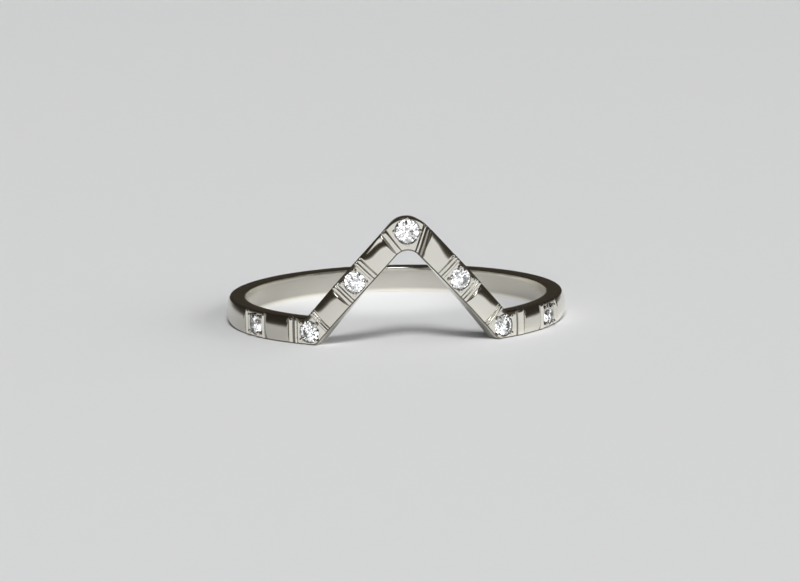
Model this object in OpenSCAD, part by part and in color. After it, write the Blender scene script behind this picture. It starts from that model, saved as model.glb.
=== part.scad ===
// Chevron ring: a slim polished band that rises to a peak, with seven small round stones in its face.
// It lies on its side, with the finger axis upright. The peak is at -Y. The origin is the centre of
// the finger hole, in the plane that the band rests on. All sizes are in millimetres.

/* [Band] */
// Diameter of the finger hole
hole_d = 17.3; // [16.9:0.1:17.7]
// Thickness of the wall under the crown of the face
wall_t = 1.1; // [1.1:0.05:1.3]
// Width of the band
band_w = 1.5; // [1.5:0.05:1.6]
// Height of the crown of the face over its edges
crown_h = 0.2; // [0.16:0.02:0.22]
// Width of the bevel along each edge of the face
edge_bevel = 0.07; // [0.05:0.01:0.08]
// Angle at which the wall behind the chevron leans away from the finger
relief_angle = 0.75; // [0.5:0.25:1]

/* [Chevron] */
// Angle round the finger from the peak to each valley
valley_angle = 34; // [33:0.5:34.5]
// Slope of the two legs
leg_slope = 46.75; // [46:0.25:48]
// Radius of the upper edge at the peak
peak_outer_r = 1.55; // [1.5:0.05:1.6]
// Radius of the lower edge under the peak
peak_inner_r = 0.85; // [0.75:0.05:1]
// Radius of the lower edge at each valley
valley_outer_r = 0.6; // [0.4:0.05:0.8]
// Radius of the upper edge at each valley
valley_inner_r = 0.35; // [0.2:0.05:0.5]

/* [Stones] */
// Diameter of the stone at the peak
peak_stone_d = 1.33; // [1.25:0.01:1.35]
// Diameter of the six other stones
stone_d = 1.2; // [1.1:0.01:1.22]
// Angle from the peak to the stone half way down each leg
leg_stone_angle = 17.8; // [17:0.1:18.5]
// Angle from the peak to the stone in each valley
valley_stone_angle = 34.6; // [34:0.1:35]
// Angle from the peak to the stone on each side of the band
side_stone_angle = 60; // [57:0.5:62]
// Depth of the girdles below the crown of the face
girdle_depth = 0.19; // [0.18:0.01:0.2]
// Depth of the peak stone's girdle below the crown of the face
peak_girdle_depth = 0.22; // [0.21:0.01:0.22]
// Width of the metal left above the peak stone
peak_rim = 0.11; // [0.1:0.01:0.13]
// Radius of the metal beads that hold the stones
bead_r = 0.11; // [0.1:0.01:0.12]

/* [Separators] */
// Width of the bar left standing between the two cuts of a separator
bar_w = 0.22; // [0.18:0.01:0.25]
// Width of each cut at the face
cut_w = 0.12; // [0.08:0.01:0.14]
// Depth of each cut
cut_depth = 0.09; // [0.06:0.01:0.1]
// Distance down the legs from where they would meet to the separators beside the peak stone
peak_cut_reach = 1.36; // [1.32:0.02:1.42]
// Slope of the separators beside the peak stone
peak_cut_slope = 28; // [26:1:32]
// Distance from a leg stone to its separators
leg_cut_reach = 0.98; // [0.96:0.01:1.05]
// Distance from a valley stone to its separator on the leg
valley_cut_reach = 1.06; // [1:0.01:1.1]
// Distance from a valley stone to its separator on the shank
shank_cut_reach = 1.17; // [1.1:0.01:1.2]
// Distance from a side stone to its separators
side_cut_reach = 0.93; // [0.92:0.01:1.1]

/* [Hidden] */
$fn = 96;

gold = "#d9d5cb";
diamond = "#eef4f7";

hole_r = hole_d / 2;
outer_r = hole_r + wall_t;
half_w = band_w / 2;
crown_r = (half_w * half_w + crown_h * crown_h) / (2 * crown_h); // radius of the face across the band
core_r = hole_r - 0.3; // the band is drawn in to here, and the finger hole is then bored out

// The band is laid out flat, with s along the outer face from the peak and z up the finger axis
mm_per_degree = outer_r * PI / 180;
valley_s = valley_angle * mm_per_degree;
sharp_peak_z = half_w + valley_s * tan(leg_slope); // where the centre lines of the legs would meet
half_rise = half_w / cos(leg_slope);
peak_top_z = sharp_peak_z + half_rise - peak_outer_r * (1 / cos(leg_slope) - 1);
peak_stone_z = peak_top_z - peak_rim - peak_stone_d / 2;

// Steps along each stretch of the band, and across its face
peak_steps = 8;
leg_steps = 8;
valley_steps = 6;
shank_angle = valley_angle + 6; // from here on round the back the band is plain
shank_steps = 30;
face_steps = 10;

// Proportions of a round brilliant, as parts of its diameter
table_part = 0.56;
crown_part = 0.15;
girdle_part = 0.03;
pavilion_part = 0.43;
crown_slope = atan(crown_part / (1 - table_part) * 2);
star_reach = 0.5; // how far the star facets reach from the table to the girdle
lower_reach = 0.77; // how far the lower girdle facets reach from the girdle to the culet
facet_angle = 45; // between two main facets

seat_gap = 0.02; // between a stone and the metal
point_gap = 0.08; // under the point of each stone
bright_cut_angle = 50; // half angle of the bright cut round each stone
cutter_lip = 0.2; // how far the cutters reach out of the face

function mix(a, b, part) = a + (b - a) * part;

// Radius of the crowned face at a place across the band from -1 to 1
function face_r(across) = outer_r - crown_r + sqrt(crown_r * crown_r - pow(across * half_w, 2));

// Section of the band as pairs of place across and radius, round a closed outline
function section() =
    let (bevel_at = 1 - edge_bevel / half_w, side_r = face_r(bevel_at) - edge_bevel)
    concat(
        [[-1, core_r], [-1, side_r]],
        [for (i = [0 : face_steps]) let (across = bevel_at * mix(-1, 1, i / face_steps))
            [across, face_r(across)]],
        [[1, side_r], [1, core_r]]
    );

// One edge of the right half of the band, flat, from the peak to the middle of the back. Side is -1
// for the lower edge and 1 for the upper one.
function edge_path(side) =
    let (
        peak_r = side < 0 ? peak_inner_r : peak_outer_r,
        valley_r = side < 0 ? valley_outer_r : valley_inner_r,
        edge_z = half_w + side * half_w,
        peak_z = sharp_peak_z + side * half_rise - peak_r / cos(leg_slope),
        turn_s = valley_s + (side * half_w + valley_r) * tan(leg_slope / 2),
        leg_top = [peak_r * sin(leg_slope), peak_z + peak_r * cos(leg_slope)],
        leg_foot = [turn_s - valley_r * sin(leg_slope), edge_z + valley_r * (1 - cos(leg_slope))]
    )
    concat(
        [for (i = [0 : peak_steps - 1]) let (turn = leg_slope * i / peak_steps)
            [peak_r * sin(turn), peak_z + peak_r * cos(turn)]],
        [for (i = [0 : leg_steps]) mix(leg_top, leg_foot, i / leg_steps)],
        [for (i = [1 : valley_steps]) let (turn = leg_slope * (1 - i / valley_steps))
            [turn_s - valley_r * sin(turn), edge_z + valley_r * (1 - cos(turn))]],
        [for (i = [0 : shank_steps]) [mix(shank_angle, 180, i / shank_steps) * mm_per_degree, edge_z]]
    );

// The whole way round, from the back's left side over the peak to the middle of the back
function both_halves(path) = concat(
    [for (i = [len(path) - 2 : -1 : 1]) [-path[i].x, path[i].y]],
    path
);

function wrapped(flat, radius) =
    let (angle = flat.x / mm_per_degree)
    [radius * sin(angle), -radius * cos(angle), flat.y];

module plain_band() {
    lower = both_halves(edge_path(-1));
    upper = both_halves(edge_path(1));
    outline = section();
    sides = len(outline);
    rings = len(lower);
    points = [for (i = [0 : rings - 1], p = outline) wrapped(mix(lower[i], upper[i], (p.x + 1) / 2), p.y)];
    skin = [for (i = [0 : rings - 1], k = [0 : sides - 1])
        let (here = i * sides, next = (i + 1) % rings * sides, l = (k + 1) % sides)
        each [[here + k, next + l, next + k], [here + k, here + l, next + l]]];
    polyhedron(points, skin);
}

// The finger hole, which opens out slightly behind the chevron
module finger_hole() {
    top_z = peak_top_z + 1;
    top_r = hole_r + (top_z - band_w) * tan(relief_angle);
    rotate_extrude()
        polygon([[0, -1], [hole_r, -1], [hole_r, band_w], [top_r, top_z], [0, top_z]]);
}

// Puts a shape on the face: its Z points out of the face, and its X runs along the band
module on_face(angle, z, slope = 0) {
    rotate([0, 0, angle])
        translate([0, -outer_r, z])
            rotate([90, 0, 0])
                rotate([0, 0, slope])
                    children();
}

// A V cut across the band, which keeps its depth over the crown of the face
module cross_cut() {
    tip = crown_r - cut_depth;
    mouth = crown_r + cutter_lip;
    mouth_half = cut_w / 2 * (mouth - tip) / cut_depth;
    translate([0, 0, -crown_r])
        rotate([0, 90, 0])
            rotate([0, 0, 90])
                rotate_extrude(angle = 180)
                    polygon([[tip, 0], [mouth, mouth_half], [mouth, -mouth_half]]);
}

// Two cuts with a bar left standing between them
module separator() {
    for (side = [-1, 1])
        translate([side * (bar_w + cut_w) / 2, 0, 0])
            cross_cut();
}

// The pocket for a stone, and the bright cut that opens it to the face
module seat(d, depth = girdle_depth) {
    pocket_r = d / 2 + seat_gap;
    floor_z = -depth - d * girdle_part - seat_gap;
    point_z = floor_z - d * pavilion_part - point_gap;
    mouth_r = pocket_r + (depth + cutter_lip) * tan(bright_cut_angle);
    rotate_extrude()
        polygon([
            [0, point_z],
            [pocket_r, floor_z],
            [pocket_r, -depth],
            [mouth_r, cutter_lip],
            [0, cutter_lip]
        ]);
}

// Four beads of metal raised over the edge of a stone
module beads(d, depth = girdle_depth) {
    bead_out = bead_r / 2;
    bead_up = (bead_r + seat_gap - bead_out * sin(crown_slope)) / cos(crown_slope);
    for (i = [0 : 3])
        rotate([0, 0, i * 90])
            translate([d / 2 + bead_out, 0, bead_up - depth])
                sphere(r = bead_r);
}

// A round brilliant with its table up and the top of its girdle at z = 0
module brilliant(d) {
    girdle_r = d / 2;
    table_r = d * table_part / 2;
    crown_z = d * crown_part;
    under_z = -d * girdle_part;
    culet_z = under_z - d * pavilion_part;
    half = facet_angle / 2;
    star_r = mix(table_r * cos(half), girdle_r, star_reach);
    star_z = crown_z * (girdle_r - star_r * cos(half)) / (girdle_r - table_r);
    lower_r = girdle_r * (1 - lower_reach);
    lower_z = mix(culet_z, under_z, lower_r * cos(half) / girdle_r);
    points = concat(
        [for (i = [0 : 7]) [table_r * cos(facet_angle * i), table_r * sin(facet_angle * i), crown_z]],
        [for (i = [0.5 : 7.5]) [star_r * cos(facet_angle * i), star_r * sin(facet_angle * i), star_z]],
        [for (z = [0, under_z], i = [0 : 15]) [girdle_r * cos(half * i), girdle_r * sin(half * i), z]],
        [for (i = [0.5 : 7.5]) [lower_r * cos(facet_angle * i), lower_r * sin(facet_angle * i), lower_z]],
        [[0, 0, culet_z]]
    );
    // The first point of each ring of points
    star = 8;
    girdle = 16;
    under = 32;
    lower = 48;
    culet = 56;
    table = [for (i = [7 : -1 : 0]) i];
    crown = [for (i = [0 : 7]) let (next = (i + 1) % 8, last = (i + 7) % 8, mid = girdle + 2 * i + 1) each [
        [i, next, star + i],
        [i, star + i, girdle + 2 * i, star + last],
        [girdle + 2 * i, star + i, mid],
        [mid, star + i, girdle + 2 * next]
    ]];
    belt = [for (i = [0 : 15]) let (next = (i + 1) % 16)
        [girdle + i, girdle + next, under + next, under + i]];
    pavilion = [for (i = [0 : 7]) let (next = (i + 1) % 8, last = (i + 7) % 8, mid = under + 2 * i + 1) each [
        [under + 2 * i, mid, lower + i],
        [mid, under + 2 * next, lower + i],
        [under + 2 * i, lower + i, culet, lower + last]
    ]];
    polyhedron(points, concat([table], crown, belt, pavilion));
}

module stone(angle, z, d = stone_d, slope = 0, depth = girdle_depth) {
    color(diamond)
        on_face(angle, z, slope)
            translate([0, 0, -depth])
                brilliant(d);
}

function degrees_along(s) = s / mm_per_degree;
function leg_z(angle) = sharp_peak_z - angle * mm_per_degree * tan(leg_slope);

module separators_of_one_side(side) {
    run = cos(leg_slope);
    peak_cut_angle = degrees_along(peak_cut_reach * run);
    on_face(side * peak_cut_angle, leg_z(peak_cut_angle), -side * peak_cut_slope)
        separator();
    for (angle = [
        leg_stone_angle - degrees_along(leg_cut_reach * run),
        leg_stone_angle + degrees_along(leg_cut_reach * run),
        valley_stone_angle - degrees_along(valley_cut_reach * run)
    ])
        on_face(side * angle, leg_z(angle), -side * leg_slope)
            separator();
    for (angle = [
        valley_stone_angle + degrees_along(shank_cut_reach),
        side_stone_angle - degrees_along(side_cut_reach),
        side_stone_angle + degrees_along(side_cut_reach)
    ])
        on_face(side * angle, half_w)
            separator();
}

module band() {
    color(gold) {
        difference() {
            plain_band();
            finger_hole();
            on_face(0, peak_stone_z)
                seat(peak_stone_d, peak_girdle_depth);
            for (side = [-1, 1]) {
                on_face(side * leg_stone_angle, leg_z(leg_stone_angle))
                    seat(stone_d);
                for (angle = [valley_stone_angle, side_stone_angle])
                    on_face(side * angle, half_w)
                        seat(stone_d);
                separators_of_one_side(side);
            }
        }
        on_face(0, peak_stone_z)
            beads(peak_stone_d, peak_girdle_depth);
        for (side = [-1, 1]) {
            on_face(side * leg_stone_angle, leg_z(leg_stone_angle), 45 - side * leg_slope)
                beads(stone_d);
            for (angle = [valley_stone_angle, side_stone_angle])
                on_face(side * angle, half_w, 45)
                    beads(stone_d);
        }
    }
}

module peak_stone() {
    stone(0, peak_stone_z, d = peak_stone_d, depth = peak_girdle_depth);
}

module leg_stone_left() {
    stone(-leg_stone_angle, leg_z(leg_stone_angle), slope = leg_slope);
}

module leg_stone_right() {
    stone(leg_stone_angle, leg_z(leg_stone_angle), slope = -leg_slope);
}

module valley_stone_left() {
    stone(-valley_stone_angle, half_w);
}

module valley_stone_right() {
    stone(valley_stone_angle, half_w);
}

module side_stone_left() {
    stone(-side_stone_angle, half_w);
}

module side_stone_right() {
    stone(side_stone_angle, half_w);
}

band();
peak_stone();
leg_stone_left();
leg_stone_right();
valley_stone_left();
valley_stone_right();
side_stone_left();
side_stone_right();
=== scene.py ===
import math

import bpy
import numpy as np
from mathutils import Matrix, Vector


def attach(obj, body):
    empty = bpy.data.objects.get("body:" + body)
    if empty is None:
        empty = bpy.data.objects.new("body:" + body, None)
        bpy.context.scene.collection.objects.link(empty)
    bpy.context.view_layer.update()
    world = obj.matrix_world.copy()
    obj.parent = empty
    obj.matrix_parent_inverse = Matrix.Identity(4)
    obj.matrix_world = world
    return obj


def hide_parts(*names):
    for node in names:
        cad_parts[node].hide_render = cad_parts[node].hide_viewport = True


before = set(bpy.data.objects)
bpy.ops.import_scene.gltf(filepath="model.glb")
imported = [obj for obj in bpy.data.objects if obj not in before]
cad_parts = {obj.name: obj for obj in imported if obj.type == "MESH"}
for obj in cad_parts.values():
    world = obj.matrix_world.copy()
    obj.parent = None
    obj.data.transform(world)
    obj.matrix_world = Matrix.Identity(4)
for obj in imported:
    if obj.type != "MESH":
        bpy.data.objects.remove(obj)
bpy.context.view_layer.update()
print("frame loaded, with", len(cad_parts), "nodes")

mm = 0.001

# The band, laid out flat: s runs along the outer face from the peak, z up the finger axis, and
# lift out of the outer face. All in millimetres and degrees.
band = {
    "holeRadius": 8.65,
    "wall": 1.1,
    "width": 1.5,
    "crown": 0.2,
    "edgeRound": 0.06,
    "edgeLine": 0.04,  # the painted dark lines of the edges, which stand for dark reflections, run on over the face by this much
    "innerRound": 0.08,
    "reliefAngle": 0.75,
    "valleyAngle": 34,
    "legSlope": 46.75,
    "peakUpperRadius": 1.55,
    "peakLowerRadius": 0.85,
    "valleyUpperRadius": 0.35,
    "valleyLowerRadius": 0.6,
    "flatSink": 0.14,  # the flats that the stones are set in lie this deep under the crown
    "flatCrown": 0.18,  # and keep this part of its curve
    "shoulder": 0.09,  # length of the rounded ends of the blocks between the flats
    "edgeFall": 0.8,  # part of their height that bars and swells lose at the edges
    "barPower": 12,  # how long bars keep their height on the way to the edges
    "swellPower": 4,  # the same for swells, across the band and along it
    "clearBar": 0.03,  # bars as high as this aren't painted dark at the upper edge
    "leastCosine": 0.4,  # of the angle between a rung and the straight way in from an edge
    "arcPoints": 60,
    "faceRows": 28,
    "rowGather": 0.3,  # how much the rows gather towards the edges
    "wallParts": (0, 0.35, 0.75),  # rows of the side walls, from the inner edge out
    "edgeTurns": 7,
    "innerTurns": 5,
    "innerRows": 8,
    "innerFlow": 2.5,  # where the flow across begins on the inner wall, clear of the outer face
    "innerFade": (0.8, 1.03),  # where the painted shade of the inner wall grows lighter, in lengths of half the band
}
outerR = band["holeRadius"] + band["wall"]
halfW = band["width"] / 2
crownR = (halfW ** 2 + band["crown"] ** 2) / (2 * band["crown"])
perDegree = outerR * math.pi / 180
slope = math.radians(band["legSlope"])
valleyS = band["valleyAngle"] * perDegree
sharpPeakZ = halfW + valleyS * math.tan(slope)
halfRise = halfW / math.cos(slope)
peakTopZ = sharpPeakZ + halfRise - band["peakUpperRadius"] * (1 / math.cos(slope) - 1)
backS = 180 * perDegree


def edgePath(side):  # right half of one edge, from the peak to the middle of the back
    peakR = band["peakLowerRadius"] if side < 0 else band["peakUpperRadius"]
    valleyR = band["valleyLowerRadius"] if side < 0 else band["valleyUpperRadius"]
    edgeZ = halfW + side * halfW
    peakZ = sharpPeakZ + side * halfRise - peakR / math.cos(slope)
    turnS = valleyS + (side * halfW + valleyR) * math.tan(slope / 2)
    down = np.linspace(0, slope, band["arcPoints"])
    level = down[::-1]
    peakArc = np.column_stack([peakR * np.sin(down), peakZ + peakR * np.cos(down)])
    valleyArc = np.column_stack([turnS - valleyR * np.sin(level), edgeZ + valleyR * (1 - np.cos(level))])
    return np.vstack([peakArc, valleyArc, [[backS, edgeZ]]])


def pathLengths(path):
    return np.concatenate([[0], np.cumsum(np.hypot(*np.diff(path, axis=0).T))])


def alongPath(path, places):  # the points of an edge at these lengths from the peak
    lengths = pathLengths(path)
    return np.column_stack([np.interp(places, lengths, path[:, k]) for k in (0, 1)])


def inwardOf(path, places, side):  # the direction from an edge into the band
    steps = np.diff(path, axis=0)
    steps /= np.hypot(*steps.T)[:, None]
    turns = np.vstack([steps[:1], (steps[:-1] + steps[1:]) / 2, steps[-1:]])
    turns[0] = [1, 0]
    lengths = pathLengths(path)
    run = np.column_stack([np.interp(places, lengths, turns[:, k]) for k in (0, 1)])
    run /= np.hypot(*run.T)[:, None]
    return np.column_stack([run[:, 1], -run[:, 0]]) * side


def crossing(path, point, heading):  # length from the peak at which a line over the face meets an edge
    away = (path - point) @ [heading[1], -heading[0]]
    lengths = pathLengths(path)
    found = []
    for i in np.nonzero(away[:-1] * away[1:] <= 0)[0]:
        part = away[i] / (away[i] - away[i + 1])
        place = path[i] + part * (path[i + 1] - path[i])
        found.append((np.hypot(*(place - point)), lengths[i] + part * (lengths[i + 1] - lengths[i])))
    return min(found)[1]


def edgeDistance(path, points):  # shortest way over the flat face to an edge
    whole = np.vstack([path[:0:-1] * [-1, 1], path])
    start, run = whole[:-1], np.diff(whole, axis=0)
    out = np.empty(len(points))
    batch = 4000  # points at a time, which spares memory
    for i in range(0, len(points), batch):
        here = points[i:i + batch, None]
        part = np.clip(((here - start) * run).sum(2) / (run ** 2).sum(1), 0, 1)
        out[i:i + batch] = np.sqrt(((start + part[..., None] * run - here) ** 2).sum(2)).min(1)
    return out


lowerEdge = edgePath(-1)
upperEdge = edgePath(1)


def placeAcross(points):  # -1 on the lower edge, 1 on the upper one
    low, up = edgeDistance(lowerEdge, points), edgeDistance(upperEdge, points)
    return (low - up) / (low + up)


def crownDrop(across):  # how far the crowned face falls away towards its edges
    return crownR - np.sqrt(crownR ** 2 - (across * halfW) ** 2)


def innerLift(z):  # the inner wall, which leans away from the finger behind the chevron
    rise = np.maximum(z - band["width"], 0)
    return band["holeRadius"] + rise * math.tan(math.radians(band["reliefAngle"])) - outerR


# The seven stones. Angle is round the finger from the peak, turn is the angle that the four beads stand
# at, opening is the half angle of the bright cut round the stone, and shadow is the place across the flat,
# from -1 to 1, above which the flat is painted dark, a painted shadow.
peakStoneDrop = 0.775  # middle of the peak stone under the top of the peak
stones = {
    "peak": {"angle": 0, "z": peakTopZ - peakStoneDrop, "size": 1.33, "depth": 0.22, "turn": 0,
             "opening": 36, "shadow": 0.84},
    "leg": {"angle": 17.8, "size": 1.2, "depth": 0.19, "turn": 45 - band["legSlope"],
            "opening": 28, "shadow": 0.62},
    "valley": {"angle": 34.6, "z": halfW, "size": 1.2, "depth": 0.19, "turn": 45,
               "opening": 38, "shadow": 0.6},
    "side": {"angle": 60, "z": halfW, "size": 1.2, "depth": 0.19, "turn": 45,
             "opening": 28, "shadow": 0.72},
}
stones["leg"]["z"] = sharpPeakZ - stones["leg"]["angle"] * perDegree * math.tan(slope)
for stone in stones.values():
    stone["s"] = stone["angle"] * perDegree

# The seats under the stones. Girdle and pavilion are in sizes of the stone, and the parts are where
# the rings of points lie: over the flat, down the bright cut, down the pocket and over its floor.
seat = {
    "gap": 0.02,  # between a stone and the metal
    "spare": 0.08,  # depth left under the culet
    "girdle": 0.03,
    "pavilion": 0.43,
    "firstRim": 0.05,  # first guess at how far the cut opens past the pocket
    "leastRim": 0.012,  # the cut opens at least this far
    "mostRim": 0.985,  # and ends within this part of the way to the flat's border
    "rimRounds": 8,  # rounds in which the rim and the heights settle
    "heightRounds": 3,
    "flatParts": (0.1, 0.2, 0.35, 0.5, 0.65, 0.8, 0.92, 1),
    "cutParts": (0.08, 0.5, 0.92, 1),
    "pocketParts": (0.2, 1),
    "floorParts": (0.94, 0.6, 0.25),
    "shadowFade": 0.16,  # how softly the painted shadow on a flat begins
    # painted shade down the bright cut, in the pocket and over its floor
    "cutShade": 0.5,
    "pocketShade": 0.9,
}
bead = {
    "radius": 0.12,
    "reach": 0.055,  # from the girdle out to the middle of a bead
    "perStone": 4,
    "segments": 20,
    "rings": 12,
    "paintedShade": 0.5,  # painted shade of the middle of a bead
    "paintedShadeBelow": 0.6,  # and how much darker the painted shade is underneath
    "crownSine": 0.5634,  # of the slope of a stone's crown, which the bead just clears
    "crownCosine": 0.8262,
}

# The separators of each half, from the peak round. Each has its middle on the face, its slope down to the
# outside, the way to its block and where that begins, its bars as (offset, half width, height,
# squareness), the width of the last cut, and the painted shade in the cuts between them.
beside = {"leg": 0.975, "valleyOnLeg": 1.06, "valleyOnShank": 1.17, "side": 0.93}  # from the stone
legWay = np.array([math.cos(slope), -math.sin(slope)])
legStone = np.array([stones["leg"]["s"], stones["leg"]["z"]])
valleyOnLeg = np.array([stones["valley"]["s"], sharpPeakZ - stones["valley"]["s"] * math.tan(slope)])
onLeg = valleyOnLeg - legWay * beside["valleyOnLeg"]
onShank = (stones["valley"]["s"] + beside["valleyOnShank"], halfW)
beforeSideStone = (stones["side"]["s"] - beside["side"], halfW)
besideLegStone = {"slope": band["legSlope"], "end": 0.24, "foot": 0.035, "shade": 0.5}
aboveLegStone = {
    **besideLegStone, "at": legStone - legWay * beside["leg"], "block": -1,
    "bars": [(-0.097, 0.11, 0.05, 3.5), (0.128, 0.08, 0.04, 3.5)],
}
belowLegStone = {
    **besideLegStone, "at": legStone + legWay * beside["leg"], "block": 1,
    "bars": [(0.097, 0.11, 0.05, 3.5), (-0.128, 0.08, 0.04, 3.5)],
}
behindSideStone = {
    "at": (stones["side"]["s"] + beside["side"], halfW), "slope": 0, "block": 1, "end": 0.16,
    "foot": 0.03, "shade": 0.5, "bars": [(-0.02, 0.13, 0.06, 2)],
}
separators = {
    "left": [
        {"at": (0.949, 5.98), "slope": 37, "block": 1, "end": 0.205, "foot": 0.05, "shade": 0.45,
         "bars": [(0, 0.15, 0.06, 4)]},
        aboveLegStone,
        belowLegStone,
        {"at": onLeg, "slope": band["legSlope"], "block": -1, "end": 0.16, "foot": 0.04, "shade": 0.75,
         "bars": [(-0.07, 0.055, 0.06, 2.5), (0.1, 0.075, 0.05, 2.5)]},
        {"at": onShank, "slope": 0, "block": 1, "end": 0.25, "foot": 0.04, "shade": 0.85,
         "bars": [(0.085, 0.14, 0.08, 2), (-0.29, 0.08, 0.07, 2)]},
        {"at": beforeSideStone, "slope": 0, "block": -1, "end": 0.18, "foot": 0.03, "shade": 0.7,
         "bars": [(0.12, 0.13, 0.08, 2)]},
        behindSideStone,
    ],
    "right": [
        {"at": (0.88, 5.95), "slope": 19, "block": 1, "end": 0.27, "foot": 0.06, "shade": 1.0,
         "bars": [(-0.125, 0.075, 0.07, 2.5), (0.115, 0.07, 0.022, 2)]},
        aboveLegStone,
        belowLegStone,
        {"at": onLeg, "slope": band["legSlope"], "block": -1, "end": 0.18, "foot": 0.03, "shade": 0.4,
         "bars": [(-0.07, 0.08, 0.07, 2), (0.12, 0.09, 0.06, 2)]},
        {"at": onShank, "slope": 0, "block": 1, "end": 0.44, "foot": 0.1, "shade": 0.85,
         "bars": [(0.15, 0.27, 0.08, 2)]},
        {"at": beforeSideStone, "slope": 0, "block": -1, "end": 0.3, "foot": 0.03, "shade": 0.5,
         "bars": [(0.04, 0.2, 0.08, 2)]},
        behindSideStone,
    ],
}

# How the blocks and the shank were filed: how far each swells in the middle, how it twists along its
# length and where that twist is nought, and the painted shade, standing for darker reflections, at its
# near and its far end
blocks = {
    "left": [
        (0.045, 0, 0, 0, 0),
        (0.03, 0.01, 0, 0.12, 0.12),
        (0.02, 0, 0, 0.42, 0.42),
        (0, 0, 0, 0.45, 0),
    ],
    "right": [
        (0.02, 0.13, 0.35, 0, 0),
        (0.02, -0.03, 0.2, 0, 0),
        (0.02, 0, 0, 0.2, 0.2),
        (0, 0, 0, 0.1, 0),
    ],
}

# Painted shade on the other parts of the metal, from 0 to 1: darker walls and dark lines on the edges,
# standing for dark reflections
shadeOf = {"lowerWall": 0.25, "lowerEdge": 1.0, "upperEdge": 1.0, "innerWall": 0.58, "innerBack": 0.38}

# The stretches of a half and the rungs laid over each. Over a separator the rungs stand at parts of
# the shoulder of its block and at parts of the half width of each bar.
stretches = ["peak", "block", "leg", "block", "valley", "block", "side", "shank"]
counts = {"peak": 20, "block": 20, "leg": 30, "valley": 32, "side": 30, "shank": 80}
rungMarks = {
    "shoulder": (0, 0.02, 0.1, 0.25, 0.45, 0.7, 1, 1.4),
    "bar": (1, 0.98, 0.92, 0.8, 0.6, 0.3),
    "step": 0.012,  # length of the step at the foot of the last cut
    "leastGap": 0.0015,  # rungs that would stand closer are left out
    "slack": 0.001,  # keeps the rung at that foot out of the cut
    "clearFrom": 0.6,  # part of the highest bar above which a cut isn't painted dark
    "blockGather": 0.5,  # how much the rungs of a block gather towards its ends
    "shankPower": 1.5,  # the rungs of the shank stand closer near the side stone
}


def barHeight(x, sep):  # height of the bars of a separator over its cuts
    height = np.zeros_like(x)
    for offset, half, top, square in sep["bars"]:
        off = np.clip(np.abs(x - offset) / half, 0, 1)
        height = np.maximum(height, top * (1 - off ** square) ** (1 / square))
    return height


def separatorRungs(sep):  # rungs over a separator, with their lengths on both edges
    block, end = sep["block"], sep["end"]
    run = np.array([math.cos(math.radians(sep["slope"])), -math.sin(math.radians(sep["slope"]))])
    cross = np.array([-run[1], run[0]])
    foot = min(block * offset - half for offset, half, _, _ in sep["bars"]) - sep["foot"]
    marks = [block * (end + band["shoulder"] * v) for v in rungMarks["shoulder"]]
    marks += [block * foot, block * (foot + rungMarks["step"])]
    for offset, half, _, _ in sep["bars"]:
        marks += [offset + side * half * v for side in (-1, 1) for v in rungMarks["bar"]]
    x = [min(marks)]
    for value in sorted(marks):
        if value - x[-1] > rungMarks["leastGap"]:
            x.append(value)
    x = np.array(x)
    middle = np.array(sep["at"])
    low = np.array([crossing(lowerEdge, middle + run * v, cross) for v in x])
    up = np.array([crossing(upperEdge, middle + run * v, cross) for v in x])
    past = block * x - end
    flat = np.where(past > 0, 1 - np.sqrt(1 - np.clip(1 - past / band["shoulder"], 0, 1) ** 2), 1)
    bar = np.where(past > 0, 0, barHeight(x, sep))
    inCuts = (past <= 0) & (block * x > foot + rungMarks["slack"])
    clear = rungMarks["clearFrom"] * max(top for _, _, top, _ in sep["bars"])
    # painted shade in the cuts, fading to nothing up the bars
    shade = inCuts * sep["shade"] * np.clip(1 - bar / clear, 0, 1)
    return {"low": low, "up": up, "flat": flat, "bar": bar, "shade": shade, "onBlock": past > 0}


def spread(count, gather):  # fractions between two rungs, gathered towards both ends
    even = np.linspace(0, 1, count + 2)[1:-1]
    return (1 - gather) * even + gather * (1 - np.cos(np.pi * even)) / 2


def layRungs(side):  # rungs across one half, each from a length on the lower edge to one on the upper
    rungs = {"low": [0], "up": [0], "flat": [1], "bar": [0], "shade": [0], "shadow": [0], "block": [-1]}
    atBack = {  # the last rung, at the middle of the back
        "low": pathLengths(lowerEdge)[-1:], "up": pathLengths(upperEdge)[-1:],
        "flat": [0], "bar": [0], "shade": [0], "onBlock": [True],
    }
    seatSpans = []
    block = -1
    for kind, sep in zip(stretches, separators[side] + [None]):
        solid = kind in ("block", "shank")
        block += solid
        ends = separatorRungs(sep) if sep else atBack
        part = spread(counts[kind], rungMarks["blockGather"] if kind == "block" else 0)
        if kind == "shank":
            part = (part ** rungMarks["shankPower"] + part) / 2
        first = len(rungs["low"]) - 1
        for name in ("low", "up"):
            start = rungs[name][-1]
            rungs[name].extend(start + part * (ends[name][0] - start))
        rungs["flat"].extend([1 - solid] * len(part))
        rungs["bar"].extend([0] * len(part))
        rungs["shade"].extend([0] * len(part))
        rungs["shadow"].extend([0 if solid else 1] * len(part) + [0] * len(ends["flat"]))
        rungs["block"].extend([block if solid else -1] * len(part))
        if not solid:
            seatSpans.append((kind, first, len(rungs["low"])))
        for name in ("low", "up", "flat", "bar", "shade"):
            rungs[name].extend(ends[name])
        number = block + (not solid)
        rungs["block"].extend([number if on else -1 for on in ends["onBlock"]])
    rungs = {name: np.array(values, float) for name, values in rungs.items()}
    rungs["swell"] = np.zeros(len(rungs["low"]))
    rungs["twist"] = np.zeros(len(rungs["low"]))
    reach = (rungs["low"] + rungs["up"]) / 2
    for number, (swell, twist, level, nearPaintedShade, farPaintedShade) in enumerate(blocks[side]):
        here = rungs["block"] == number
        along = np.interp(reach[here], [reach[here].min(), reach[here].max()], [-1, 1])
        rungs["swell"][here] = swell * (1 - np.abs(along) ** band["swellPower"])
        rungs["twist"][here] = twist * (along - level)
        # painted shade along each block, from its near to its far end
        rungs["shade"][here] = np.interp(along, [-1, 1], [nearPaintedShade, farPaintedShade])
    rungs["reach"] = reach
    return rungs, seatSpans


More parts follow.
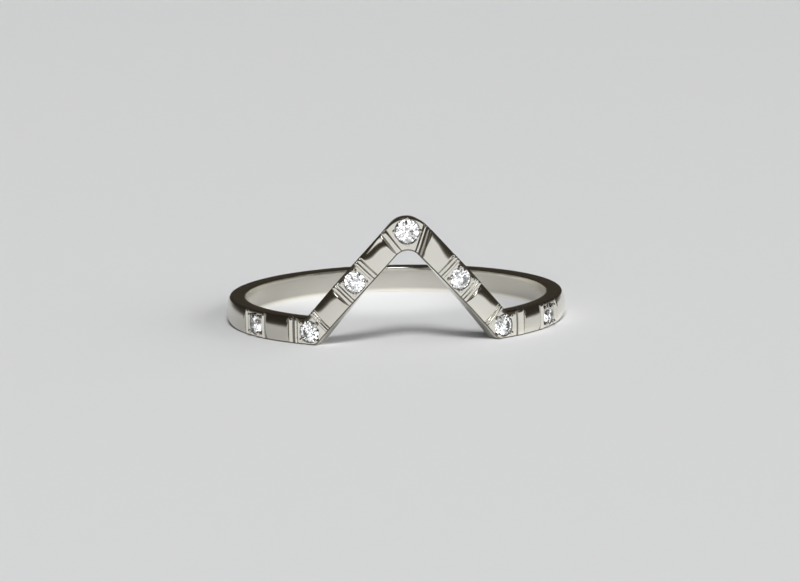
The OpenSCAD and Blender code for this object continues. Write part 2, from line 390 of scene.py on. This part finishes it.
def tangentHeight(a, b, stone):  # height of the flat over the plane through the face at a stone's middle
    s = stone["s"] + outerR * np.arctan2(a, outerR)
    for _ in range(seat["heightRounds"]):
        across = placeAcross(np.column_stack([s, stone["z"] + b]))
        lift = -band["flatSink"] - band["flatCrown"] * crownDrop(across)
        height = np.sqrt((outerR + lift) ** 2 - a ** 2) - outerR
        s = stone["s"] + outerR * np.arctan2(a, outerR + height)
    return height


def halfBand(side):  # points, shades, flow along the band, and faces of one half, laid out flat
    rungs, seatSpans = layRungs(side)
    lowPoint, upPoint = alongPath(lowerEdge, rungs["low"]), alongPath(upperEdge, rungs["up"])
    heading = upPoint - lowPoint
    heading /= np.hypot(*heading.T)[:, None]
    lowCosine = (heading * inwardOf(lowerEdge, rungs["low"], -1)).sum(1)
    upCosine = (-heading * inwardOf(upperEdge, rungs["up"], 1)).sum(1)
    lowStep = 1 / np.maximum(lowCosine, band["leastCosine"])
    upStep = 1 / np.maximum(upCosine, band["leastCosine"])
    rows = []  # points, lift, shade and flow across of one row of all rungs

    def fromLower(distance):
        return lowPoint + heading * (distance * lowStep)[:, None]

    def fromUpper(distance):
        return upPoint - heading * (distance * upStep)[:, None]

    def faceLift(across):
        crowned = -crownDrop(across) * (1 - (1 - band["flatCrown"]) * rungs["flat"])
        bars = rungs["bar"] * (1 - band["edgeFall"] * across ** band["barPower"])
        swells = rungs["swell"] * (1 - band["edgeFall"] * across ** band["swellPower"])
        return crowned - band["flatSink"] * rungs["flat"] + (bars + swells) - rungs["twist"] * across

    def addFaceRow(points, drop, shade=0.0):
        across = placeAcross(points)
        paintedShade = np.maximum(rungs["shade"], shade)
        rows.append((points, faceLift(across) - drop, paintedShade, across * halfW))

    def addSideRow(points, lift, shade, flowAcross):
        rows.append((points, lift, np.zeros(len(points)) + shade, np.full(len(points), flowAcross)))

    def addWall(points, end, parts, shade):
        inner = innerLift(points[:, 1]) + band["innerRound"]
        outer = faceLift(np.full(len(points), float(end))) - band["edgeRound"]
        for part in parts:
            addSideRow(points, inner + part * (outer - inner), shade, end * (halfW + 1 - part))

    def addEdgeRow(fromEdge, turn, shade):  # one row of a rounded outer edge
        points = fromEdge(band["edgeRound"] * (1 - math.cos(turn)))
        addFaceRow(points, band["edgeRound"] * (1 - math.sin(turn)), shade)

    def addInnerRow(fromEdge, turn, flowAcross):  # one row of a rounded inner edge
        points = fromEdge(band["innerRound"] * (1 - math.cos(turn)))
        lift = innerLift(points[:, 1]) + band["innerRound"] * (1 - math.sin(turn))
        addSideRow(points, lift, 0, flowAcross)

    # the lower wall and edge, the face, the upper edge and wall, then back over the inner wall
    # painted shade: a darker lower wall, standing for the shadowed floor it reflects
    addWall(lowPoint, -1, band["wallParts"], shadeOf["lowerWall"])
    turns = np.linspace(0, math.pi / 2, band["edgeTurns"])
    # painted dark line on the rounded lower edge, standing for a dark reflection
    for turn in turns:
        addEdgeRow(fromLower, turn, shadeOf["lowerEdge"] * math.sin(turn))
    faceEdge = band["edgeRound"] + band["edgeLine"]
    start, end = fromLower(faceEdge), fromUpper(faceEdge)
    addFaceRow(start, 0)
    lowRow = len(rows) - 1
    for part in spread(band["faceRows"], band["rowGather"]):
        addFaceRow(start + part * (end - start), 0)
    highRow = len(rows)
    # painted shadow along the upper border of each flat
    addFaceRow(end, 0, rungs["shadow"])
    # painted dark line on the rounded upper edge over the flats, but not on the bars
    betweenBars = np.clip(1 - rungs["bar"] / band["clearBar"], 0, 1)
    for turn in turns[::-1]:
        addEdgeRow(fromUpper, turn, shadeOf["upperEdge"] * math.sin(turn) * rungs["flat"] * betweenBars)
    addWall(upPoint, 1, band["wallParts"][::-1], 0)
    innerTurns = np.linspace(0, math.pi / 2, band["innerTurns"])[1:]
    for turn in innerTurns:
        addInnerRow(fromUpper, turn, band["innerFlow"])
    start, end = fromUpper(band["innerRound"]), fromLower(band["innerRound"])
    # painted shade on the inner wall, lighter towards the middle of the back
    innerShade = np.interp(
        rungs["reach"] / backS, band["innerFade"], (shadeOf["innerWall"], shadeOf["innerBack"]))
    for part in np.linspace(0, 1, band["innerRows"])[1:-1]:
        points = start + part * (end - start)
        addSideRow(points, innerLift(points[:, 1]), innerShade, band["innerFlow"] + part)
    for turn in innerTurns[::-1]:
        addInnerRow(fromLower, turn, band["innerFlow"] + 1)

    rungCount, rowCount = len(lowPoint), len(rows)
    flat = list(np.stack([np.column_stack(row[:2]) for row in rows], axis=1).reshape(-1, 3))
    shades = list(np.stack([row[2] for row in rows], axis=1).reshape(-1))
    flow = np.stack([np.column_stack([rungs["reach"], row[3]]) for row in rows], axis=1)
    flow = list(flow.reshape(-1, 2))
    faces = []
    spans = {i for _, first, last in seatSpans for i in range(first, last)}
    for c in range(rungCount - 1):
        here, onward = c * rowCount, (c + 1) * rowCount
        for r in range(rowCount):
            if c in spans and lowRow <= r < highRow:
                continue
            above = (r + 1) % rowCount
            faces.append((here + r, onward + r, onward + above, here + above))

    def addSeat(kind, first, last):  # rings of points from the lattice down into the pocket of one stone
        stone = stones[kind]
        border = [c * rowCount + lowRow for c in range(first, last + 1)]
        border += [last * rowCount + r for r in range(lowRow + 1, highRow + 1)]
        border += [c * rowCount + highRow for c in range(last - 1, first - 1, -1)]
        closed = kind != "peak"
        if closed:
            border += [first * rowCount + r for r in range(highRow - 1, lowRow, -1)]
        base = np.array([flat[i] for i in border])
        turn = (base[:, 0] - stone["s"]) / outerR
        a, b = (outerR + base[:, 2]) * np.sin(turn), base[:, 1] - stone["z"]
        far = np.hypot(a, b)
        even = np.zeros(len(far))  # makes one number a whole ring of them
        cosA, sinA = a / far, b / far
        pocketR = stone["size"] / 2 + seat["gap"]
        widening = math.tan(math.radians(stone["opening"]))
        rim = pocketR + seat["firstRim"] + even
        for _ in range(seat["rimRounds"]):
            rim = pocketR + (tangentHeight(rim * cosA, rim * sinA, stone) + stone["depth"]) * widening
            rim = np.clip(rim, pocketR + seat["leastRim"], seat["mostRim"] * far)
        rimHeight = tangentHeight(rim * cosA, rim * sinA, stone)
        floorZ = -stone["depth"] - stone["size"] * seat["girdle"] - seat["gap"]
        pointZ = floorZ - stone["size"] * seat["pavilion"] - seat["spare"]
        rings = []
        # painted shadow over the upper side of the flat, then painted shade down the cut and in the pocket
        for part in seat["flatParts"]:
            radius = far + part * (rim - far)
            height = tangentHeight(radius * cosA, radius * sinA, stone)
            s = stone["s"] + outerR * np.arctan2(radius * cosA, outerR + height)
            across = placeAcross(np.column_stack([s, stone["z"] + radius * sinA]))
            rings.append((radius, height, np.clip((across - stone["shadow"]) / seat["shadowFade"], 0, 1)))
        for part in seat["cutParts"]:
            height = rimHeight + part * (-stone["depth"] - rimHeight)
            rings.append((rim + part * (pocketR - rim), height, part * seat["cutShade"]))
        for part in seat["pocketParts"]:
            height = part * (floorZ + stone["depth"]) - stone["depth"]
            rings.append((pocketR + even, height + even, seat["pocketShade"]))
        for part in seat["floorParts"]:
            height = floorZ + (1 - part) * (pointZ - floorZ)
            rings.append((pocketR * part + even, height + even, 1))
        previous = border
        pairs = range(len(far)) if closed else range(len(far) - 1)
        for radius, height, dark in rings:
            ringA, ringB = radius * cosA, radius * sinA
            s = stone["s"] + outerR * np.arctan2(ringA, outerR + height)
            ring = range(len(flat), len(flat) + len(far))
            lift = np.hypot(ringA, outerR + height) - outerR
            flat.extend(np.column_stack([s, stone["z"] + ringB, lift]))
            shades.extend(dark + even)
            flow.extend(np.column_stack([s, ringB]))
            for i in pairs:
                j = (i + 1) % len(far)
                faces.append((previous[i], previous[j], ring[j], ring[i]))
            previous = ring
        flat.append(np.array([stone["s"], stone["z"], pointZ]))
        shades.append(1)
        flow.append(np.array([stone["s"], 0]))
        for i in pairs:
            faces.append((previous[i], previous[(i + 1) % len(far)], len(flat) - 1))

    for span in seatSpans:
        addSeat(*span)
    print(side, "half:", rungCount, "rungs of", rowCount, "points")
    return np.array(flat), np.array(shades), np.array(flow), faces


def addObject(name, data):
    made = bpy.data.objects.new(name, data)
    bpy.context.scene.collection.objects.link(made)
    return made


flatR, shadesR, flowR, facesR = halfBand("right")
flatL, shadesL, flowL, facesL = halfBand("left")
rightHalf = np.column_stack([flatR[:, 0], -flatR[:, 2], flatR[:, 1]]) * mm
leftHalf = np.column_stack([-flatL[:, 0], -flatL[:, 2], flatL[:, 1]]) * mm
stripMesh = bpy.data.meshes.new("flatBand")
stripMesh.from_pydata(
    np.vstack([rightHalf, leftHalf]).tolist(), [],
    facesR + [tuple(i + len(flatR) for i in face[::-1]) for face in facesL])
# painted shade, from 0 to 1, which darkens the metal's colour
shadeData = stripMesh.attributes.new("shade", "FLOAT", "POINT")
shadeData.data.foreach_set("value", np.concatenate([shadesR, shadesL]).astype(np.float32))
flow = np.vstack([flowR, flowL * [-1, 1]])
flowData = stripMesh.attributes.new("flow", "FLOAT_VECTOR", "POINT")
flowData.data.foreach_set("vector", np.column_stack([flow, 0 * flow[:, 0]]).astype(np.float32).ravel())
print("flat band:", len(stripMesh.vertices), "points")

# One point for each stone, which carries the turn and the reach of its beads
seatPoints = []
for stone in stones.values():
    clear = bead["radius"] + seat["gap"] - bead["reach"] * bead["crownSine"]
    lift = clear / bead["crownCosine"] - stone["depth"]
    for side in ([1] if stone["s"] == 0 else [1, -1]):
        seatPoints.append({
            "place": (side * stone["s"] * mm, -lift * mm, stone["z"] * mm),
            "turn": side * math.radians(stone["turn"]),
            "reach": (stone["size"] / 2 + bead["reach"]) * mm,
        })
seatMesh = bpy.data.meshes.new("seatPoints")
seatMesh.from_pydata([point["place"] for point in seatPoints], [], [])
for name in ("turn", "reach"):
    values = [point[name] for point in seatPoints]
    seatMesh.attributes.new(name, "FLOAT", "POINT").data.foreach_set("value", values)
seatObject = addObject("seatPoints", seatMesh)


def addNode(tree, kind, **settings):
    node = tree.nodes.new(kind)
    for name, value in settings.items():
        setattr(node, name, value)
    return node


def feed(tree, node, values):  # sets or links a node's inputs, by name or place
    for name, value in values.items():
        if isinstance(value, bpy.types.NodeSocket):
            tree.links.new(value, node.inputs[name])
        else:
            node.inputs[name].default_value = value
    return node


def compute(tree, operation, *values):
    node = addNode(tree, "ShaderNodeMath", operation=operation)
    feed(tree, node, dict(enumerate(values)))
    return node.outputs[0]


def stored(tree, name):  # a value carried by the points
    node = addNode(tree, "GeometryNodeInputNamedAttribute", data_type="FLOAT")
    return feed(tree, node, {"Name": name}).outputs["Attribute"]


joinWithin = 2e-7  # in metres; closes the seam where the two halves meet


def bendTree():  # sets the beads round each stone, then bends the flat band round the finger
    tree = bpy.data.node_groups.new("bendRoundFinger", "GeometryNodeTree")
    for name, kind, way in (
        ("Flat Band", "NodeSocketGeometry", "INPUT"),
        ("Seats", "NodeSocketObject", "INPUT"),
        ("Outer Radius", "NodeSocketFloat", "INPUT"),
        ("Bead Radius", "NodeSocketFloat", "INPUT"),
        ("Beads per Stone", "NodeSocketInt", "INPUT"),
        ("Metal", "NodeSocketMaterial", "INPUT"),
        ("Band", "NodeSocketGeometry", "OUTPUT"),
    ):
        tree.interface.new_socket(name=name, in_out=way, socket_type=kind)
    given = addNode(tree, "NodeGroupInput").outputs
    seats = feed(tree, addNode(tree, "GeometryNodeObjectInfo"), {"Object": given["Seats"]})
    turn, reach = stored(tree, "turn"), stored(tree, "reach")
    upright = feed(tree, addNode(tree, "ShaderNodeCombineXYZ"), {
        "X": math.pi / 2, "Y": compute(tree, "MULTIPLY", turn, -1.0)})
    circle = feed(tree, addNode(tree, "GeometryNodeMeshCircle"), {
        "Vertices": given["Beads per Stone"], "Radius": 1.0})
    around = feed(tree, addNode(tree, "GeometryNodeInstanceOnPoints"), {
        "Points": seats.outputs["Geometry"], "Instance": circle.outputs["Mesh"],
        "Rotation": upright.outputs[0], "Scale": reach})
    places = feed(tree, addNode(tree, "GeometryNodeRealizeInstances"), {0: around.outputs[0]})
    ball = feed(tree, addNode(tree, "GeometryNodeMeshUVSphere"), {
        "Segments": bead["segments"], "Rings": bead["rings"], "Radius": given["Bead Radius"]})
    onBall = feed(tree, addNode(tree, "ShaderNodeSeparateXYZ"), {
        0: addNode(tree, "GeometryNodeInputPosition").outputs[0]})
    # painted shade on the beads: darker underneath, none at the outer pole
    under = compute(tree, "DIVIDE", onBall.outputs["Y"], given["Bead Radius"])
    paintedShade = compute(tree, "MULTIPLY_ADD", under, bead["paintedShadeBelow"], bead["paintedShade"])
    shadedBall = feed(tree, addNode(tree, "GeometryNodeStoreNamedAttribute", data_type="FLOAT"), {
        "Geometry": ball.outputs["Mesh"], "Name": "shade", "Value": compute(tree, "MAXIMUM", paintedShade, 0.0)})
    beads = feed(tree, addNode(tree, "GeometryNodeInstanceOnPoints"), {
        "Points": places.outputs[0], "Instance": shadedBall.outputs["Geometry"]})
    solidBeads = feed(tree, addNode(tree, "GeometryNodeRealizeInstances"), {0: beads.outputs[0]})
    whole = addNode(tree, "GeometryNodeJoinGeometry")
    tree.links.new(given["Flat Band"], whole.inputs[0])
    tree.links.new(solidBeads.outputs[0], whole.inputs[0])
    position = addNode(tree, "GeometryNodeInputPosition")
    place = feed(tree, addNode(tree, "ShaderNodeSeparateXYZ"), {0: position.outputs[0]})
    angle = compute(tree, "DIVIDE", place.outputs["X"], given["Outer Radius"])
    radius = compute(tree, "SUBTRACT", given["Outer Radius"], place.outputs["Y"])
    forward = compute(tree, "MULTIPLY", radius, compute(tree, "COSINE", angle))
    bent = feed(tree, addNode(tree, "ShaderNodeCombineXYZ"), {
        "X": compute(tree, "MULTIPLY", radius, compute(tree, "SINE", angle)),
        "Y": compute(tree, "MULTIPLY", forward, -1.0),
        "Z": place.outputs["Z"]})
    moved = feed(tree, addNode(tree, "GeometryNodeSetPosition"), {
        "Geometry": whole.outputs[0], "Position": bent.outputs[0]})
    joined = feed(tree, addNode(tree, "GeometryNodeMergeByDistance"), {
        "Geometry": moved.outputs[0], "Distance": joinWithin})
    smooth = feed(tree, addNode(tree, "GeometryNodeSetShadeSmooth"), {"Geometry": joined.outputs[0]})
    real = feed(tree, addNode(tree, "GeometryNodeRealizeInstances"), {0: smooth.outputs[0]})
    painted = feed(tree, addNode(tree, "GeometryNodeSetMaterial"), {
        "Geometry": real.outputs[0], "Material": given["Metal"]})
    tree.links.new(painted.outputs[0], addNode(tree, "NodeGroupOutput").inputs[0])
    return tree


def grey(value):
    return (value, value, value, 1)


def ramp(tree, value, stops):  # a value turned into another over given stops
    node = addNode(tree, "ShaderNodeValToRGB")
    node.color_ramp.elements[0].position, node.color_ramp.elements[0].color = stops[0]
    node.color_ramp.elements[1].position, node.color_ramp.elements[1].color = stops[-1]
    for position, color in stops[1:-1]:
        node.color_ramp.elements.new(position).color = color
    tree.links.new(value, node.inputs[0])
    return node.outputs[0]


def mixColor(tree, factor, first, second):  # the sockets of colours have the places 6 and 7
    node = addNode(tree, "ShaderNodeMix", data_type="RGBA")
    return feed(tree, node, {0: factor, 6: first, 7: second}).outputs[2]


def noise(tree, vector, scale, detail):
    node = addNode(tree, "ShaderNodeTexNoise")
    return feed(tree, node, {"Vector": vector, "Scale": scale, "Detail": detail}).outputs[0]


def newMaterial(name):
    material = bpy.data.materials.new(name)
    material.use_nodes = True
    return material, material.node_tree, material.node_tree.nodes["Principled BSDF"]


whiteGold = {
    "color": (0.97, 0.95, 0.875, 1),
    "warm": (0.94, 0.91, 0.82, 1),
    # the dark colour of the painted shade
    "shade": (0.11, 0.095, 0.07, 1),
    "tone": {"scale": 420.0, "detail": 3.0},
    "marks": {"scale": 5200.0, "detail": 5.0},
    "streaks": {"scale": 1.0, "detail": 2.0},
    "streakRun": (1.2, 9.0, 1.0),  # per millimetre, along and across the band
    "streakDepth": 2.0e-6,
    "roughness": 0.05,
    "markHaze": 0.06,  # roughness that marks, streaks and shade add
    "streakHaze": 0.05,
    "shadeHaze": 0.2,
}


def whiteGoldMaterial():
    material, tree, shader = newMaterial("polishedWhiteGold")
    place = addNode(tree, "ShaderNodeTexCoord").outputs["Object"]
    tone = noise(tree, place, **whiteGold["tone"])
    marks = noise(tree, place, **whiteGold["marks"])
    shade = addNode(tree, "ShaderNodeAttribute", attribute_name="shade").outputs["Fac"]
    polished = mixColor(tree, tone, whiteGold["warm"], whiteGold["color"])
    # painted shade darkens the polished colour towards the shade colour
    tree.links.new(mixColor(tree, shade, polished, whiteGold["shade"]), shader.inputs["Base Color"])
    flow = addNode(tree, "ShaderNodeAttribute", attribute_name="flow").outputs["Vector"]
    drawn = feed(tree, addNode(tree, "ShaderNodeVectorMath", operation="MULTIPLY"), {
        0: flow, 1: whiteGold["streakRun"]})
    streaks = noise(tree, drawn.outputs[0], **whiteGold["streaks"])
    haze = compute(tree, "MULTIPLY_ADD", marks, whiteGold["markHaze"], whiteGold["roughness"])
    haze = compute(tree, "MULTIPLY_ADD", streaks, whiteGold["streakHaze"], haze)
    haze = compute(tree, "MULTIPLY_ADD", shade, whiteGold["shadeHaze"], haze)
    tree.links.new(haze, shader.inputs["Roughness"])
    bump = feed(tree, addNode(tree, "ShaderNodeBump"), {
        "Strength": 1.0, "Distance": whiteGold["streakDepth"], "Height": streaks})
    tree.links.new(bump.outputs[0], shader.inputs["Normal"])
    shader.inputs["Metallic"].default_value = 1
    return material


clearDiamond = {
    "tints": ((0.96, 0.975, 1, 1), (1, 1, 1, 1)),
    "cloud": {"scale": 900.0, "detail": 1.0},
    "ior": 2.417,
}


def diamondMaterial():
    material, tree, shader = newMaterial("clearDiamond")
    place = addNode(tree, "ShaderNodeTexCoord").outputs["Object"]
    cloud = noise(tree, place, **clearDiamond["cloud"])
    tree.links.new(mixColor(tree, cloud, *clearDiamond["tints"]), shader.inputs["Base Color"])
    shader.inputs["Roughness"].default_value = 0
    shader.inputs["IOR"].default_value = clearDiamond["ior"]
    shader.inputs["Transmission Weight"].default_value = 1
    return material


gold = whiteGoldMaterial()
diamond = diamondMaterial()

bandObject = addObject("bandInMetal", stripMesh)
tree = bendTree()
bend = bandObject.modifiers.new("bend", "NODES")
bend.node_group = tree
inputs = {item.name: item.identifier for item in tree.interface.items_tree if item.in_out == "INPUT"}
for name, value in {
    "Seats": seatObject,
    "Outer Radius": outerR * mm,
    "Bead Radius": bead["radius"] * mm,
    "Beads per Stone": bead["perStone"],
    "Metal": gold,
}.items():
    bend[inputs[name]] = value
bandObject.update_tag()
bpy.context.view_layer.update()
finished = bpy.data.meshes.new_from_object(bandObject.evaluated_get(bpy.context.evaluated_depsgraph_get()))
bandObject.modifiers.remove(bend)
bandObject.data = finished
bpy.data.objects.remove(seatObject)
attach(bandObject, "root")
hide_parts("band")
finished.calc_loop_triangles()
print("band:", len(finished.vertices), "points,", len(finished.loop_triangles), "triangles")

for name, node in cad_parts.items():
    if "stone" in name:
        node.data.materials.clear()
        node.data.materials.append(diamond)
print("stones in diamond")

# Floor, lights and room, in metres. The window lights the floor, and the room and its cards are what
# the metal reflects. Cards and window reach from one azimuth to another, counted from the peak, and
# from one height to another, in degrees. Soft is how far their edges fade.
studio = {
    "floor": (0.74, 0.745, 0.75, 1),
    "floorSize": 6,
    "floorRoughness": 0.9,
    "floorGloss": 0.1,
    "lamp": {"power": 87, "size": 0.93, "place": (-0.19, -2.56, 3.06)},
    "pool": {"power": 0.7, "radius": 0.0075, "place": (-0.0003, 0.0068, 0.25)},  # in the ring
    "sky": 0.03,
    "window": {"from": -30, "to": 110, "low": 6, "high": 40, "tone": 2.2, "soft": 0.01},
    "room": [  # colours by the sine of the height
        (0, grey(0.5)),
        (0.03, grey(0.3)),
        (0.07, (0.068, 0.062, 0.052, 1)),
        (0.17, (0.034, 0.029, 0.022, 1)),
        (1, (0.028, 0.024, 0.018, 1)),
    ],
    "cards": [
        {"from": -62, "to": -30, "low": 20.5, "high": 27.5, "tone": 0.8, "soft": 0.01},
        {"from": 36, "to": 80, "low": 15, "high": 28, "tone": 0.16, "soft": 0.01},
        {"from": -8, "to": 0, "low": 45, "high": 55, "tone": 9.0, "soft": 0.03},
    ],
    "screens": {"scale": 7.0, "detail": 1.0},  # bright and dark patches that the stones break up
    "sparkle": [(0.41, grey(0.01)), (0.43, grey(2.3)), (1, grey(2.3))],
}


def stageFloor():
    mesh = bpy.data.meshes.new("floor")
    size = studio["floorSize"]
    corners = [(-size, -size, 0), (size, -size, 0), (size, size, 0), (-size, size, 0)]
    mesh.from_pydata(corners, [], [(0, 1, 2, 3)])
    floor = addObject("floor", mesh)
    material, _, shader = newMaterial("paleFloor")
    shader.inputs["Base Color"].default_value = studio["floor"]
    shader.inputs["Roughness"].default_value = studio["floorRoughness"]
    shader.inputs["Specular IOR Level"].default_value = studio["floorGloss"]
    mesh.materials.append(material)


def studioWorld():  # even light for the floor, and a dark room for what the metal and stones reflect
    world = bpy.data.worlds.new("studio")
    world.use_nodes = True
    bpy.context.scene.world = world
    tree = world.node_tree
    background = tree.nodes["Background"]
    ray = addNode(tree, "ShaderNodeLightPath")
    direction = addNode(tree, "ShaderNodeTexCoord").outputs["Generated"]
    way = feed(tree, addNode(tree, "ShaderNodeSeparateXYZ"), {0: direction}).outputs
    turn = compute(tree, "ARCTAN2", way["X"], compute(tree, "MULTIPLY", way["Y"], -1.0))
    turn = compute(tree, "MULTIPLY_ADD", turn, 0.5 / math.pi, 0.5)
    room = ramp(tree, way["Z"], studio["room"])

    def fade(value, first, last, soft):  # 1 between two values, 0 beyond them
        return ramp(tree, value, [
            (first - soft, grey(0)), (first, grey(1)), (last, grey(1)), (last + soft, grey(0))])

    def addCard(card, behind):  # a lit patch of the room
        low, high = (math.sin(math.radians(card[end])) for end in ("low", "high"))
        sideways = fade(turn, card["from"] / 360 + 0.5, card["to"] / 360 + 0.5, card["soft"])
        upright = fade(way["Z"], low, high, 2 * card["soft"])
        return mixColor(tree, compute(tree, "MULTIPLY", sideways, upright), behind, grey(card["tone"]))

    for card in studio["cards"]:
        room = addCard(card, room)
    sparkle = ramp(tree, noise(tree, direction, **studio["screens"]), studio["sparkle"])
    seen = mixColor(tree, ray.outputs["Is Transmission Ray"], room, sparkle)
    onFloor = compute(tree, "GREATER_THAN", ray.outputs["Diffuse Depth"], 0.5)
    sky = addCard(studio["window"], grey(studio["sky"]))
    tree.links.new(mixColor(tree, onFloor, seen, sky), background.inputs["Color"])
    background.inputs["Strength"].default_value = 1


def studioLights():
    data = bpy.data.lights.new("softbox", "AREA")
    data.shape = "SQUARE"
    data.size = studio["lamp"]["size"]
    data.energy = studio["lamp"]["power"]
    lamp = addObject("softbox", data)
    lamp.location = studio["lamp"]["place"]
    lamp.rotation_euler = lamp.location.to_track_quat("Z", "Y").to_euler()
    lamp.visible_glossy = False  # the metal reflects the room's cards instead
    place = studio["pool"]["place"]
    data = bpy.data.lights.new("pool", "SPOT")
    data.energy = studio["pool"]["power"]
    data.spot_size = 2 * math.atan(studio["pool"]["radius"] / place[2])
    data.spot_blend = 1
    pool = addObject("pool", data)
    pool.location = place
    pool.visible_glossy = False
    pool.visible_transmission = False


# The camera, in degrees and millimetres, with its focal length and picture in pixels. Aim is the
# point looked at, to the right of the origin and above it as the camera sees it.
view = {
    "azimuth": -4.19,
    "elevation": 10.16,
    "roll": 1.17,
    "distance": 232.4,
    "aim": (0.219, 1.54),
    "focal": 4030,
    "pictureWidth": 800,
    "sensorWidth": 36,
}


def studioCamera():
    azimuth, elevation, roll = (math.radians(view[name]) for name in ("azimuth", "elevation", "roll"))
    level = Vector((math.cos(azimuth), math.sin(azimuth), 0))
    ahead = Vector((math.sin(azimuth), -math.cos(azimuth), 0))
    back = ahead * math.cos(elevation) + Vector((0, 0, math.sin(elevation)))
    upward = back.cross(level)
    right = math.cos(roll) * level - math.sin(roll) * upward
    up = math.sin(roll) * level + math.cos(roll) * upward
    data = bpy.data.cameras.new("camera")
    data.sensor_width = view["sensorWidth"]
    data.lens = view["focal"] * view["sensorWidth"] / view["pictureWidth"]
    data.clip_start = 0.01
    camera = addObject("camera", data)
    place = back * view["distance"] * mm
    aim = right * view["aim"][0] * mm + up * view["aim"][1] * mm
    back = (place - aim).normalized()
    right = (right - right.dot(back) * back).normalized()
    turned = Matrix((right, back.cross(right), back)).transposed().to_4x4()
    camera.matrix_world = Matrix.Translation(place) @ turned
    bpy.context.scene.camera = camera


stageFloor()
studioWorld()
studioLights()
studioCamera()
bpy.context.scene.view_settings.view_transform = "Standard"
print("studio ready")
